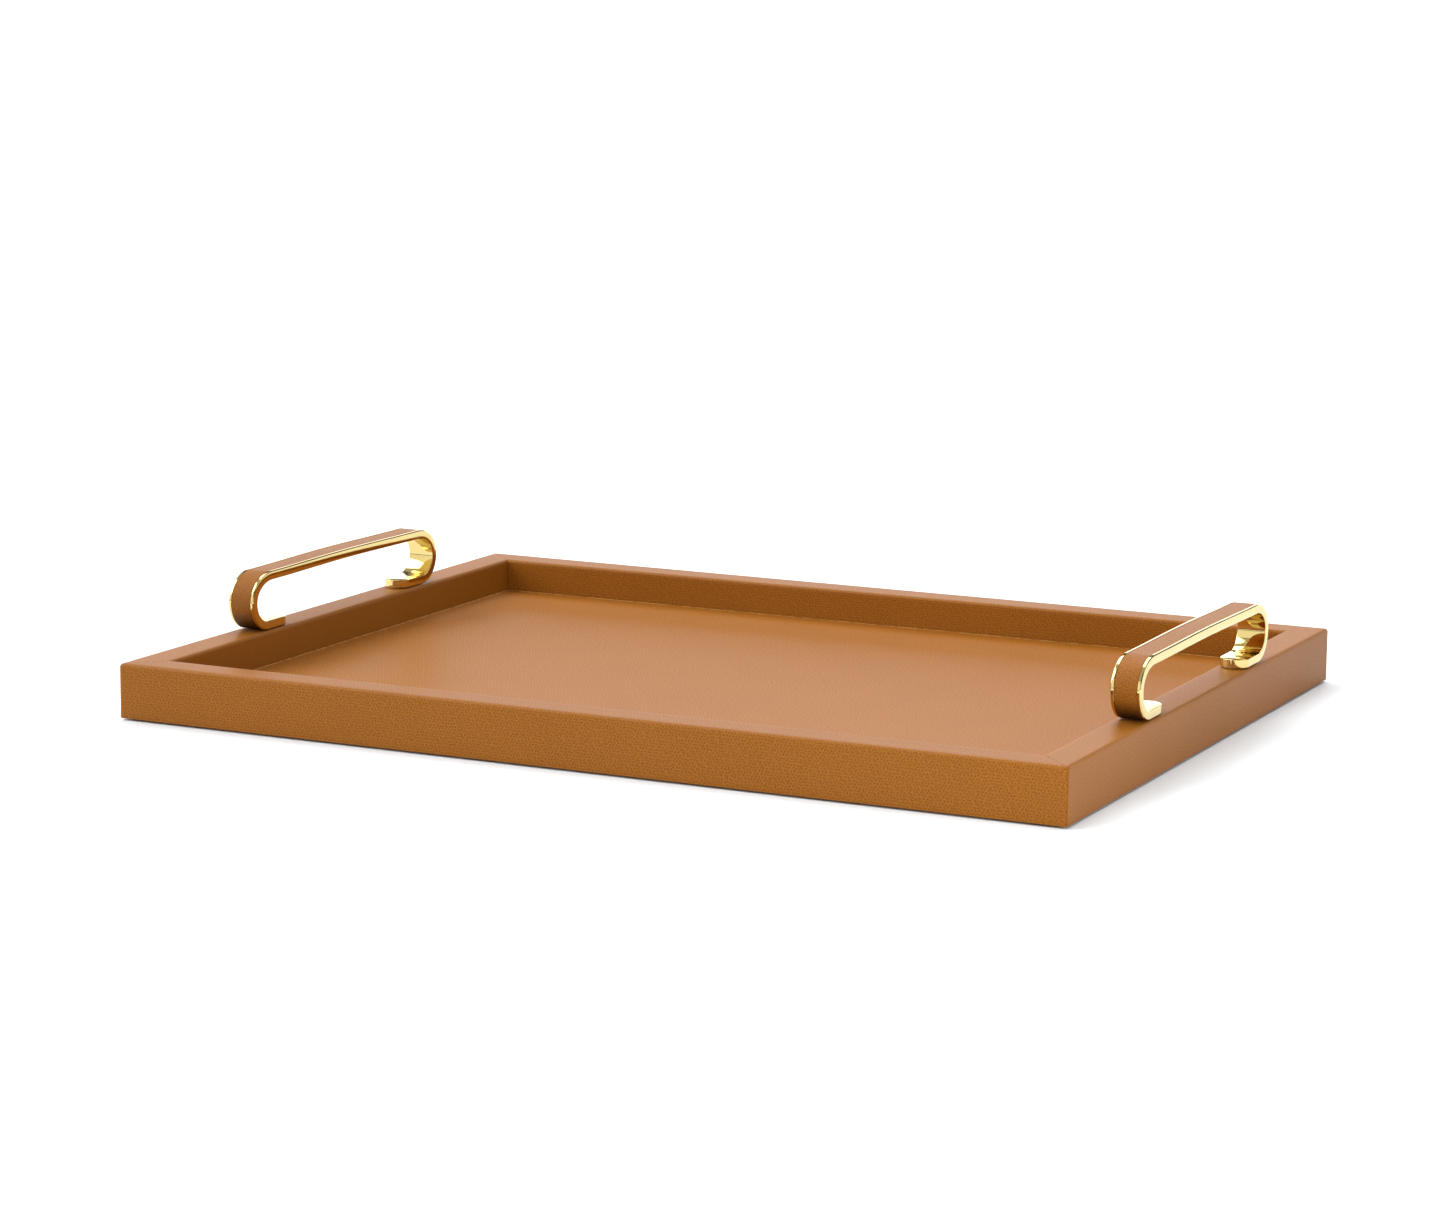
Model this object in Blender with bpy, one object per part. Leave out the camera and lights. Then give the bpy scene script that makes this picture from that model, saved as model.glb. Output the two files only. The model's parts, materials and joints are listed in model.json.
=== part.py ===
"""Rectangular serving tray: a leather-covered wooden frame with two brass bar handles.

Run with blender --background --python part.py. Units are metres, +Z is up, +X runs along
the tray's long side and the origin is the middle of the underside, on the table.
Four mitred rails, joined by loose tongues, hold a base panel in a rebate. Each rail is
wrapped in its own strip of leather, a leather-covered board lies on the base, and a suede
liner closes the underside. Each handle is a channelled bar with a leather inlay, held by
two screws that come up through its rail. Pieces that touch keep a clearance of GAP.
"""

import math

import bmesh
import bpy
from mathutils import Matrix, Vector

# Overall size of the tray without its handles
LENGTH = 0.550
WIDTH = 0.422
WALL_HEIGHT = 0.0304
RIM_WIDTH = 0.0206
FLOOR_DEPTH = 0.0187

# Sheet and board thicknesses
GAP = 0.0003
LEATHER = 0.0012
LINER = 0.0007
BASE_BOARD = 0.0060

# Edges of the leather-covered frame
OUTER_EDGE_RADIUS = 0.0020
INNER_EDGE_RADIUS = 0.0020
FOOT_EDGE_RADIUS = 0.0010
CORNER_RADIUS = 0.0015
CORNER_STEPS = 4
EDGE_STEPS = 4

# Rebate that holds the base panel, and the liner's margins
REBATE_WIDTH = 0.0039
LINER_INSET = 0.0040
LINER_CORNER = 0.0030
FLOOR_EDGE_RADIUS = 0.0012

# Loose tongues in the mitres
TONGUE_ALONG_MITRE = 0.0120
TONGUE_ACROSS_MITRE = 0.0090
TONGUE_THICKNESS = 0.0030

# Handles
HANDLE_LENGTH = 0.2086
HANDLE_HEIGHT = 0.0339
TOP_ARCH = 0.0007
LOWER_BEND = 0.0166
UPPER_BEND = 0.0210
BAR_WIDTH = 0.0164
BAR_THICKNESS = 0.0050
FOOT_TIP = 0.0640
LIP = 0.0018
CHANNEL_DEPTH = 0.0013
LIP_CHAMFER = 0.0005
INNER_CHAMFER = 0.0003
CHANNEL_START = math.radians(4)
BEND_STEPS = 24
TOP_STEPS = 10
TIP_STEPS = 7

# Handle screws, M4 by 25 with a button head, and their washers
SCREW_RADIUS = 0.0020
SCREW_LENGTH = 0.0250
SCREW_HEAD_RADIUS = 0.0038
SCREW_HEAD_HEIGHT = 0.0022
SCREW_SOCKET_FLAT = 0.00125
SCREW_SOCKET_DEPTH = 0.0013
SCREW_FROM_MIDDLE = 0.0760
SCREW_REACH = 0.0033
TAPPED_RADIUS = 0.00215
CLEARANCE_RADIUS = 0.0023
WASHER_RADIUS = 0.0040
WASHER_BORE_RADIUS = 0.00215
WASHER_THICKNESS = 0.0008
COUNTERBORE_RADIUS = 0.0043
ROUND_STEPS = 24

# Heights and insets that follow from the sizes above
SKIN = LEATHER + GAP
COVER_BOTTOM = LINER + GAP
RIM_TOP = COVER_BOTTOM + WALL_HEIGHT
RAIL_BOTTOM = COVER_BOTTOM + SKIN
RAIL_TOP = RIM_TOP - SKIN
RAIL_INNER = RIM_WIDTH - SKIN
REBATE_INNER = RAIL_INNER - REBATE_WIDTH
BASE_TOP = COVER_BOTTOM + BASE_BOARD
REBATE_TOP = BASE_TOP + GAP
FLOOR_TOP = RIM_TOP - FLOOR_DEPTH
FLOOR_INSET = RIM_WIDTH + GAP
HANDLE_X = LENGTH / 2 - RIM_WIDTH / 2
HANDLE_BASE = RIM_TOP + GAP
UPPER_RISE = HANDLE_HEIGHT - TOP_ARCH - LOWER_BEND
TOP_END = HANDLE_LENGTH / 2 - UPPER_BEND
TIP_CENTRE = FOOT_TIP + BAR_WIDTH / 2
SCREW_HEAD_FACE = HANDLE_BASE + SCREW_REACH - SCREW_LENGTH
WASHER_BOTTOM = SCREW_HEAD_FACE + GAP
COUNTERBORE_TOP = WASHER_BOTTOM + WASHER_THICKNESS + GAP

# Colour, roughness and metallic value of each finish
FINISHES = {
    "tan_leather": ((0.40, 0.15, 0.035, 1.0), 0.55, 0.0),
    "inlay_leather": ((0.38, 0.14, 0.035, 1.0), 0.55, 0.0),
    "brass": ((0.86, 0.60, 0.20, 1.0), 0.12, 1.0),
    "suede": ((0.050, 0.026, 0.014, 1.0), 0.95, 0.0),
    "board": ((0.42, 0.28, 0.16, 1.0), 0.80, 0.0),
    "beech": ((0.62, 0.42, 0.24, 1.0), 0.65, 0.0),
    "steel": ((0.60, 0.60, 0.58, 1.0), 0.30, 1.0),
}

# The outward direction of each side of the tray
SIDES = {
    "front": Vector((0, -1, 0)),
    "back": Vector((0, 1, 0)),
    "left": Vector((-1, 0, 0)),
    "right": Vector((1, 0, 0)),
}
HANDLE_SIDES = {"left": -1, "right": 1}
HANDLE_ENDS = {"front": -1, "back": 1}


def clear_scene():
    for old in list(bpy.data.objects):
        bpy.data.objects.remove(old, do_unlink=True)


def finish_material(name, finish):
    colour, roughness, metallic = FINISHES[finish]
    material = bpy.data.materials.new(name)
    material.use_nodes = True
    shader = material.node_tree.nodes["Principled BSDF"]
    shader.inputs["Base Color"].default_value = colour
    shader.inputs["Roughness"].default_value = roughness
    shader.inputs["Metallic"].default_value = metallic
    return material


def place(name, mesh, parent, location=(0, 0, 0), turn=0.0):
    """A new object that shows the mesh, placed under its parent empty."""
    piece = bpy.data.objects.new(name, mesh)
    bpy.context.scene.collection.objects.link(piece)
    piece.parent = parent
    piece.location = location
    piece.rotation_euler = (0, 0, turn)
    return piece


def add_piece(name, mesh, finish, parent, location=(0, 0, 0), turn=0.0):
    """A sub-part: its mesh may be shared, its material is its own."""
    piece = place(name, mesh, parent, location, turn)
    if not mesh.materials:
        mesh.materials.append(None)
    slot = piece.material_slots[0]
    slot.link = "OBJECT"
    slot.material = finish_material(name + "_finish", finish)
    return piece


def add_cutter(name, mesh, parent, location=(0, 0, 0), turn=0.0):
    cutter = place(name, mesh, parent, location, turn)
    cutter.hide_render = True
    cutter.display_type = "WIRE"
    return cutter


def cut_with(piece, cutter):
    boolean = piece.modifiers.new(cutter.name, "BOOLEAN")
    boolean.operation = "DIFFERENCE"
    boolean.solver = "EXACT"
    boolean.object = cutter


def add_empty(name, location=(0, 0, 0)):
    empty = bpy.data.objects.new(name, None)
    bpy.context.scene.collection.objects.link(empty)
    empty.location = location
    return empty


def finish_mesh(bm, name, smooth):
    """Closes a bmesh off: merges points that fell together and turns all faces outward."""
    bmesh.ops.remove_doubles(bm, verts=bm.verts, dist=1e-6)
    bmesh.ops.recalc_face_normals(bm, faces=bm.faces)
    mesh = bpy.data.meshes.new(name)
    bm.to_mesh(mesh)
    bm.free()
    if smooth:
        mesh.shade_smooth()
        mesh.set_sharp_from_angle(angle=math.radians(35))
    return mesh


def loft(rings, closed=False):
    """Skins rings of equally many points, and caps the two ends unless the path is closed."""
    bm = bmesh.new()
    loops = [[bm.verts.new(point) for point in ring] for ring in rings]
    pairs = list(zip(loops, loops[1:]))
    if closed:
        pairs.append((loops[-1], loops[0]))
    else:
        bm.faces.new(loops[0])
        bm.faces.new(loops[-1])
    for first, second in pairs:
        for i in range(len(first)):
            j = (i + 1) % len(first)
            bm.faces.new((first[i], first[j], second[j], second[i]))
    return bm


def rounded_outline(corners, steps=EDGE_STEPS):
    """A closed 2-D outline from (x, y, radius) corners, each rounded by an arc."""
    outline = []
    count = len(corners)
    for i, (x, y, radius) in enumerate(corners):
        corner = Vector((x, y))
        if radius == 0:
            outline.append(corner)
            continue
        before = (Vector(corners[i - 1][:2]) - corner).normalized()
        after = (Vector(corners[(i + 1) % count][:2]) - corner).normalized()
        centre = corner + (before + after) * radius
        for step in range(steps + 1):
            angle = math.pi / 2 * step / steps
            outline.append(centre - after * radius * math.cos(angle) - before * radius * math.sin(angle))
    return outline


def rectangle_ring(inset, z, radius):
    """A rounded rectangle, inset from the tray's outer faces, at one height."""
    half = Vector((LENGTH / 2 - inset, WIDTH / 2 - inset))
    corners = [(half.x, half.y), (-half.x, half.y), (-half.x, -half.y), (half.x, -half.y)]
    outline = rounded_outline([(x, y, radius) for x, y in corners], CORNER_STEPS)
    return [(point.x, point.y, z) for point in outline]


def plate_mesh(name, inset, bottom, top, radius):
    rings = [rectangle_ring(inset, z, radius) for z in (bottom, top)]
    return finish_mesh(loft(rings), name, smooth=False)


def frame_ring_stations():
    """Places round the frame: (corner centre, outward direction) through each rounded corner."""
    stations = []
    half = Vector((LENGTH / 2 - CORNER_RADIUS, WIDTH / 2 - CORNER_RADIUS))
    for quarter in range(4):
        start = math.pi / 2 * quarter
        middle = start + math.pi / 4
        centre = Vector((math.copysign(half.x, math.cos(middle)), math.copysign(half.y, math.sin(middle))))
        for step in range(CORNER_STEPS + 1):
            angle = start + math.pi / 2 * step / CORNER_STEPS
            stations.append((centre, Vector((math.cos(angle), math.sin(angle)))))
    return stations


def frame_point(centre, direction, inset, z):
    """The point at an inset from the outer face: past the corner's centre the mitre is sharp."""
    if inset < CORNER_RADIUS:
        spot = centre + direction * (CORNER_RADIUS - inset)
    else:
        excess = inset - CORNER_RADIUS
        spot = centre - Vector((math.copysign(excess, centre.x), math.copysign(excess, centre.y)))
    return (spot.x, spot.y, z)


def side_mesh(name, section, side):
    """One mitred side of a frame whose cross-section is a list of (inset, height) points."""
    rings = [
        [frame_point(centre, direction, inset, z) for inset, z in section]
        for centre, direction in frame_ring_stations()
    ]
    bm = loft(rings, closed=True)
    bmesh.ops.remove_doubles(bm, verts=bm.verts, dist=1e-6)
    outward = SIDES[side]
    across = Vector((-outward.y, outward.x, 0))
    for end in (-1, 1):
        toward_end = across * end
        corner = Vector((
            LENGTH / 2 * (outward.x + toward_end.x),
            WIDTH / 2 * (outward.y + toward_end.y),
            0,
        ))
        normal = (toward_end - outward).normalized()
        cut = bmesh.ops.bisect_plane(
            bm,
            geom=bm.verts[:] + bm.edges[:] + bm.faces[:],
            plane_co=corner - normal * GAP / 2,
            plane_no=normal,
            dist=1e-7,
            clear_outer=True,
        )
        rim = [item for item in cut["geom_cut"] if isinstance(item, bmesh.types.BMEdge)]
        bmesh.ops.holes_fill(bm, edges=[edge for edge in rim if edge.is_boundary], sides=0)
    return finish_mesh(bm, name, smooth=True)


def rail_section():
    edge = OUTER_EDGE_RADIUS - SKIN
    return rounded_outline([
        (SKIN, RAIL_BOTTOM, 0),
        (SKIN, RAIL_TOP, edge),
        (RAIL_INNER, RAIL_TOP, edge),
        (RAIL_INNER, REBATE_TOP, 0),
        (REBATE_INNER, REBATE_TOP, 0),
        (REBATE_INNER, RAIL_BOTTOM, 0),
    ], steps=2)


def cover_section():
    """The leather round a rail: turned in below, up the outside, over the rim and down inside."""
    inner_line = COVER_BOTTOM + LEATHER
    return rounded_outline([
        (REBATE_INNER, COVER_BOTTOM, 0),
        (0, COVER_BOTTOM, FOOT_EDGE_RADIUS),
        (0, RIM_TOP, OUTER_EDGE_RADIUS),
        (RIM_WIDTH, RIM_TOP, INNER_EDGE_RADIUS),
        (RIM_WIDTH, REBATE_TOP, 0),
        (RIM_WIDTH - LEATHER, REBATE_TOP, 0),
        (RIM_WIDTH - LEATHER, RIM_TOP - LEATHER, INNER_EDGE_RADIUS - LEATHER),
        (LEATHER, RIM_TOP - LEATHER, OUTER_EDGE_RADIUS - LEATHER),
        (LEATHER, inner_line, 0),
        (REBATE_INNER, inner_line, 0),
    ])


def floor_leather_mesh():
    """The floor's leather: a sheet with its edges turned down round the floor board."""
    cavity = FLOOR_INSET + LEATHER
    rings = [
        rectangle_ring(cavity, FLOOR_TOP - LEATHER, LEATHER),
        rectangle_ring(cavity, REBATE_TOP, LEATHER),
        rectangle_ring(FLOOR_INSET, REBATE_TOP, 2 * LEATHER),
    ]
    for step in range(EDGE_STEPS + 1):
        angle = math.pi / 2 * step / EDGE_STEPS
        inset = FLOOR_INSET + FLOOR_EDGE_RADIUS * (1 - math.cos(angle))
        height = FLOOR_TOP - FLOOR_EDGE_RADIUS * (1 - math.sin(angle))
        rings.append(rectangle_ring(inset, height, 2 * LEATHER))
    return finish_mesh(loft(rings), "floor_leather", smooth=True)


def box_mesh(name, size_x, size_y, size_z):
    bm = bmesh.new()
    bmesh.ops.create_cube(bm, size=1, matrix=Matrix.Diagonal((size_x, size_y, size_z, 1)))
    return finish_mesh(bm, name, smooth=False)


def circle_ring(radius, z):
    turn = 2 * math.pi / ROUND_STEPS
    return [(radius * math.cos(turn * i), radius * math.sin(turn * i), z) for i in range(ROUND_STEPS)]


def hexagon_ring(flat, z):
    """Points on a hexagon's outline, one at each direction that circle_ring uses."""
    points = []
    for i in range(ROUND_STEPS):
        angle = 2 * math.pi * i / ROUND_STEPS
        from_flat = (angle % (math.pi / 3)) - math.pi / 6
        radius = flat / math.cos(from_flat)
        points.append((radius * math.cos(angle), radius * math.sin(angle), z))
    return points


def screw_mesh():
    """A button-head screw with a hexagon socket: origin under the head, thread along +Z."""
    socket_top = SCREW_SOCKET_DEPTH - SCREW_HEAD_HEIGHT
    rings = [
        hexagon_ring(SCREW_SOCKET_FLAT, socket_top),
        hexagon_ring(SCREW_SOCKET_FLAT, -SCREW_HEAD_HEIGHT),
        circle_ring(SCREW_HEAD_RADIUS * 0.55, -SCREW_HEAD_HEIGHT),
        circle_ring(SCREW_HEAD_RADIUS * 0.86, -SCREW_HEAD_HEIGHT * 0.72),
        circle_ring(SCREW_HEAD_RADIUS, -SCREW_HEAD_HEIGHT * 0.18),
        circle_ring(SCREW_HEAD_RADIUS, 0),
        circle_ring(SCREW_RADIUS, 0),
        circle_ring(SCREW_RADIUS, SCREW_LENGTH - 0.0006),
        circle_ring(SCREW_RADIUS - 0.0006, SCREW_LENGTH),
    ]
    return finish_mesh(loft(rings), "handle_screw", smooth=True)


def washer_mesh():
    rings = [
        circle_ring(WASHER_BORE_RADIUS, 0),
        circle_ring(WASHER_RADIUS, 0),
        circle_ring(WASHER_RADIUS, WASHER_THICKNESS),
        circle_ring(WASHER_BORE_RADIUS, WASHER_THICKNESS),
    ]
    return finish_mesh(loft(rings, closed=True), "handle_washer", smooth=True)


def stepped_hole_mesh():
    """What a handle screw needs removed from its rail and leather, from below to above the rim."""
    rings = [
        circle_ring(COUNTERBORE_RADIUS, 0),
        circle_ring(COUNTERBORE_RADIUS, COUNTERBORE_TOP),
        circle_ring(CLEARANCE_RADIUS, COUNTERBORE_TOP),
        circle_ring(CLEARANCE_RADIUS, RIM_TOP + BAR_THICKNESS),
    ]
    return finish_mesh(loft(rings), "screw_passage", smooth=False)


def tapped_hole_mesh():
    rings = [circle_ring(TAPPED_RADIUS, z) for z in (-BAR_THICKNESS, SCREW_REACH + GAP)]
    return finish_mesh(loft(rings), "tapped_hole", smooth=False)


def bend_stations(end, angles):
    """Places round one end's bend: (y and z of the outer face, outward direction).

    The lower quarter is round and the upper one is drawn out towards the middle.
    """
    stations = []
    for angle in angles:
        reach, rise = (UPPER_BEND, UPPER_RISE) if angle > 0 else (LOWER_BEND, LOWER_BEND)
        y = HANDLE_LENGTH / 2 - reach + reach * math.cos(angle)
        spot = Vector((end * y, LOWER_BEND + rise * math.sin(angle)))
        outward = Vector((end * math.cos(angle) / reach, math.sin(angle) / rise)).normalized()
        stations.append((spot, outward))
    return stations


def top_stations():
    """Places along the slightly arched top, between the two bends."""
    stations = []
    for step in range(1, TOP_STEPS):
        share = 2 * step / TOP_STEPS - 1
        drop = TOP_ARCH * (1 - math.cos(math.pi * share)) / 2
        slope = TOP_ARCH * math.sin(math.pi * share) * math.pi / 2 / TOP_END
        spot = Vector((TOP_END * share, HANDLE_HEIGHT - drop))
        stations.append((spot, Vector((slope, 1)).normalized()))
    return stations


def bend_angles(start):
    """Angles from start, measured from straight down, round to straight up."""
    steps = [math.pi * i / BEND_STEPS for i in range(BEND_STEPS + 1)]
    kept = [start] + [angle for angle in steps if angle > start + 1e-3]
    return [angle - math.pi / 2 for angle in kept]


def bar_ring(spot, outward, half_width, depth):
    """The bar's cross-section, with a channel of the given depth in its outer face."""
    lip = min(LIP, half_width * 0.5)
    chamfer = min(LIP_CHAMFER, half_width * 0.3)
    inner = min(INNER_CHAMFER, half_width * 0.3)
    half_section = [
        (half_width - inner, -BAR_THICKNESS),
        (half_width, inner - BAR_THICKNESS),
        (half_width, -chamfer),
        (half_width - chamfer, 0),
        (half_width - lip, 0),
        (half_width - lip, -depth),
    ]
    section = half_section + [(-x, height) for x, height in reversed(half_section)]
    return [(x, *(spot + outward * height)) for x, height in section]


def half_bar_rings(end):
    """The rings of half the handle, from the rounded tip of one foot up to the top of its bend."""
    down = Vector((0, -1))
    rings = []
    for step in range(1, TIP_STEPS + 1):
        angle = math.pi / 2 * step / TIP_STEPS
        spot = Vector((end * (TIP_CENTRE - BAR_WIDTH / 2 * math.cos(angle)), 0))
        rings.append(bar_ring(spot, down, BAR_WIDTH / 2 * math.sin(angle), 0))
    for spot, outward in bend_stations(end, [-math.pi / 2, CHANNEL_START - math.pi / 2]):
        rings.append(bar_ring(spot, outward, BAR_WIDTH / 2, 0))
    for spot, outward in bend_stations(end, bend_angles(CHANNEL_START)):
        rings.append(bar_ring(spot, outward, BAR_WIDTH / 2, CHANNEL_DEPTH))
    return rings


def handle_bar_mesh():
    """The handle's bar, in a frame whose origin is the middle of the handle's base."""
    top = [bar_ring(spot, outward, BAR_WIDTH / 2, CHANNEL_DEPTH) for spot, outward in top_stations()]
    rings = half_bar_rings(-1) + top + half_bar_rings(1)[::-1]
    return finish_mesh(loft(rings), "handle_bar", smooth=True)


def handle_leather_mesh():
    """The strip that lies in the bar's channel, flush with its lips."""
    half_width = BAR_WIDTH / 2 - LIP - GAP
    bottom = GAP - CHANNEL_DEPTH
    edge = -bottom / 4
    half_section = [(half_width, bottom), (half_width, -edge), (half_width - edge, 0)]
    section = half_section + [(-x, height) for x, height in reversed(half_section)]
    start = CHANNEL_START + GAP / LOWER_BEND
    front = bend_stations(-1, bend_angles(start))
    back = bend_stations(1, bend_angles(start))
    rings = [
        [(x, *(spot + outward * height)) for x, height in section]
        for spot, outward in front + top_stations() + back[::-1]
    ]
    return finish_mesh(loft(rings), "handle_leather", smooth=True)


def build_frame(tray):
    """The four rails, their leather covers and the tongues in the mitres."""
    rails = {}
    covers = {}
    for side in SIDES:
        rails[side] = add_piece(
            side + "_rail", side_mesh(side + "_rail", rail_section(), side), "board", tray
        )
        covers[side] = add_piece(
            side + "_leather", side_mesh(side + "_leather", cover_section(), side), "tan_leather", tray
        )
    tongue = box_mesh("mitre_tongue", TONGUE_ALONG_MITRE, TONGUE_ACROSS_MITRE, TONGUE_THICKNESS)
    slot = box_mesh(
        "mitre_slot",
        TONGUE_ALONG_MITRE + 2 * GAP,
        TONGUE_ACROSS_MITRE + 2 * GAP,
        TONGUE_THICKNESS + 2 * GAP,
    )
    middle = (RAIL_INNER + SKIN) / 2
    height = (RAIL_TOP + REBATE_TOP) / 2
    for end, end_sign in HANDLE_ENDS.items():
        for side, side_sign in HANDLE_SIDES.items():
            place_at = (side_sign * (LENGTH / 2 - middle), end_sign * (WIDTH / 2 - middle), height)
            turn = math.pi / 4 * side_sign * end_sign
            name = end + "_" + side + "_mitre_tongue"
            add_piece(name, tongue, "beech", tray, place_at, turn)
            cutter = add_cutter(name + "_slot", slot, tray, place_at, turn)
            cut_with(rails[end], cutter)
            cut_with(rails[side], cutter)
    return rails, covers


def build_floor(tray):
    """The base panel in its rebate, the covered floor board on it and the liner below."""
    add_piece(
        "base_panel",
        plate_mesh("base_panel", REBATE_INNER + GAP, COVER_BOTTOM, BASE_TOP, LEATHER),
        "board",
        tray,
    )
    board_inset = FLOOR_INSET + LEATHER + GAP
    add_piece(
        "floor_board",
        plate_mesh("floor_board", board_inset, REBATE_TOP, FLOOR_TOP - SKIN, LEATHER),
        "board",
        tray,
    )
    add_piece("floor_leather", floor_leather_mesh(), "tan_leather", tray)
    add_piece(
        "underside_liner",
        plate_mesh("underside_liner", LINER_INSET, 0, LINER, LINER_CORNER),
        "suede",
        tray,
    )


def build_handles(tray, rails, covers):
    """Both handles: the bar, its leather, and the screws and washers that hold it."""
    bar_mesh = handle_bar_mesh()
    leather_mesh = handle_leather_mesh()
    screw = screw_mesh()
    washer = washer_mesh()
    passage = stepped_hole_mesh()
    tapped = tapped_hole_mesh()
    for side, side_sign in HANDLE_SIDES.items():
        handle = add_empty(side + "_handle", (side_sign * HANDLE_X, 0, HANDLE_BASE))
        bar = add_piece(side + "_handle_bar", bar_mesh, "brass", handle)
        add_piece(side + "_handle_leather", leather_mesh, "inlay_leather", handle)
        for end, end_sign in HANDLE_ENDS.items():
            hardware = end + "_" + side + "_handle_"
            y = end_sign * SCREW_FROM_MIDDLE
            thread = add_cutter(hardware + "thread", tapped, handle, (0, y, 0))
            cut_with(bar, thread)
            through = add_cutter(hardware + "passage", passage, tray, (side_sign * HANDLE_X, y, 0))
            cut_with(rails[side], through)
            cut_with(covers[side], through)
            screw_at = (0, y, SCREW_HEAD_FACE - HANDLE_BASE)
            washer_at = (0, y, WASHER_BOTTOM - HANDLE_BASE)
            add_piece(hardware + "screw", screw, "steel", handle, screw_at)
            add_piece(hardware + "washer", washer, "steel", handle, washer_at)


def main():
    clear_scene()
    tray = add_empty("tray")
    rails, covers = build_frame(tray)
    build_floor(tray)
    build_handles(tray, rails, covers)


main()
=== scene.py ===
"""The looks of the leather-covered serving tray with brass handles, built round its CAD frame.

Units are metres in the frame of the CAD: +X along the long side, +Z up, origin in the middle
of the underside. The leather, the handles' bars and their inlays are modelled again here in
fine detail; the rails, tongues, boards, screws, washers and liner keep their CAD shape and
get a finer material.
"""

import json
import math

import bmesh
import bpy
from mathutils import Matrix, Vector, noise


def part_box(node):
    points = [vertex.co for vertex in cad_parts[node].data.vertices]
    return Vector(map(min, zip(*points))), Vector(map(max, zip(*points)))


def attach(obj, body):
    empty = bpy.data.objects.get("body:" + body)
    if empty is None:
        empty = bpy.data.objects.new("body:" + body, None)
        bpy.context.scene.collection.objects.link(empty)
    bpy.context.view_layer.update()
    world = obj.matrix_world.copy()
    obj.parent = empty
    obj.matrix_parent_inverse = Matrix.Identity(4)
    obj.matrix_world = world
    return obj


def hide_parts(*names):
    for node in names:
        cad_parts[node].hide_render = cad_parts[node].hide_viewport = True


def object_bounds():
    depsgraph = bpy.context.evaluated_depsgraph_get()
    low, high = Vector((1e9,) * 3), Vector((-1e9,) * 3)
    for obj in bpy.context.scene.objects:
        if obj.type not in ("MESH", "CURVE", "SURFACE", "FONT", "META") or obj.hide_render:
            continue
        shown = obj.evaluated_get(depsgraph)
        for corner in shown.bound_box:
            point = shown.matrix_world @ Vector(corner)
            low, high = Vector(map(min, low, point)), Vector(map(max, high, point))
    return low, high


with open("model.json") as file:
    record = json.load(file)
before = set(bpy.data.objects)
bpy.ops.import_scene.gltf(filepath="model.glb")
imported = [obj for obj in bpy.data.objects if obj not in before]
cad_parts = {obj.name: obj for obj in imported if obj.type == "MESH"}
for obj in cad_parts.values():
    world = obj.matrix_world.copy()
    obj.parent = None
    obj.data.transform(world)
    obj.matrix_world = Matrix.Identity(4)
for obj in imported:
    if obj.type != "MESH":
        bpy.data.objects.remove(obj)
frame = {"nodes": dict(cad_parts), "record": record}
CAD_LOW, CAD_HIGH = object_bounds()

MM = 0.001

# Sizes read from the frame, and the small gap left round parts that are put in later
CLEARANCE = 0.0003
HALF_LENGTH = CAD_HIGH.x
HALF_WIDTH = CAD_HIGH.y
COVER_LOW, COVER_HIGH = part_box("front_leather")
COVER_BOTTOM = COVER_LOW.z
RIM_TOP = COVER_HIGH.z
RIM_WIDTH = COVER_HIGH.y - COVER_LOW.y
FLOOR_LOW, FLOOR_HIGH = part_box("floor_leather")
FLOOR_BASE = FLOOR_LOW.z
FLOOR_TOP = FLOOR_HIGH.z
FLOOR_INSET = HALF_LENGTH - FLOOR_HIGH.x
TURN_IN = HALF_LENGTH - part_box("base_panel")[1].x - CLEARANCE
BAR_LOW, BAR_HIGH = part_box("right_handle_bar")
HANDLE_X = (BAR_LOW.x + BAR_HIGH.x) / 2
HANDLE_BASE = BAR_LOW.z
HANDLE_HEIGHT = BAR_HIGH.z - BAR_LOW.z
HANDLE_LENGTH = BAR_HIGH.y - BAR_LOW.y
BAR_WIDTH = BAR_HIGH.x - BAR_LOW.x
SCREW_LOW, SCREW_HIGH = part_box("back_right_handle_screw")
SCREW_Y = (SCREW_LOW.y + SCREW_HIGH.y) / 2
WASHER_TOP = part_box("back_right_handle_washer")[1].z

# The leather round the frame. Each cover is sliced closely near its mitres, at SEAM_STATIONS
# millimetres from the seam, and every STATION_STEP in between.
LEATHER = 1.2 * MM
OUTER_EDGE_RADIUS = 2.0 * MM
INNER_EDGE_RADIUS = 2.0 * MM
BOTTOM_EDGE_RADIUS = 0.7 * MM
CORNER_RADIUS = 1.5 * MM
SEAM_RADIUS = 0.22 * MM
SEAM_GAP = 0.08 * MM
SEAM_STATIONS = [0.0, 0.04, 0.1, 0.2, 0.35, 0.55, 0.8, 1.1, 1.5, 2.4, 4.0]
SECTION_STEP = 2.4 * MM
STATION_STEP = 6.0 * MM
ARC_STEPS = 8
WAVE = 0.05 * MM
WAVE_SCALE = 28.0
SEED_STEP = 0.83

# The floor's leather. FLOOR_RINGS are its rings' distances from the edge, in millimetres.
FLOOR_EDGE_RADIUS = 1.2 * MM
FLOOR_CORNER = 2.4 * MM
FLOOR_CORNER_LEAST = 0.4 * MM
FLOOR_CORNER_STEPS = 6
FLOOR_SIDE_STEPS = (80, 60)
FLOOR_BEAD = 0.15 * MM
FLOOR_BEAD_PLACE = 1.6 * MM
FLOOR_BEAD_SPREAD = 2.2 * MM
FLOOR_RINGS = [1.2, 1.6, 2.2, 3, 4, 6, 9, 13, 19, 27, 38, 52, 68, 86, 106, 128, 150, 170, 186]
FLOOR_WAVE = 0.10 * MM
FLOOR_WAVE_SCALE = 14.0
FLOOR_WAVE_START = 8 * MM
FLOOR_SEED = 3.0

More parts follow.
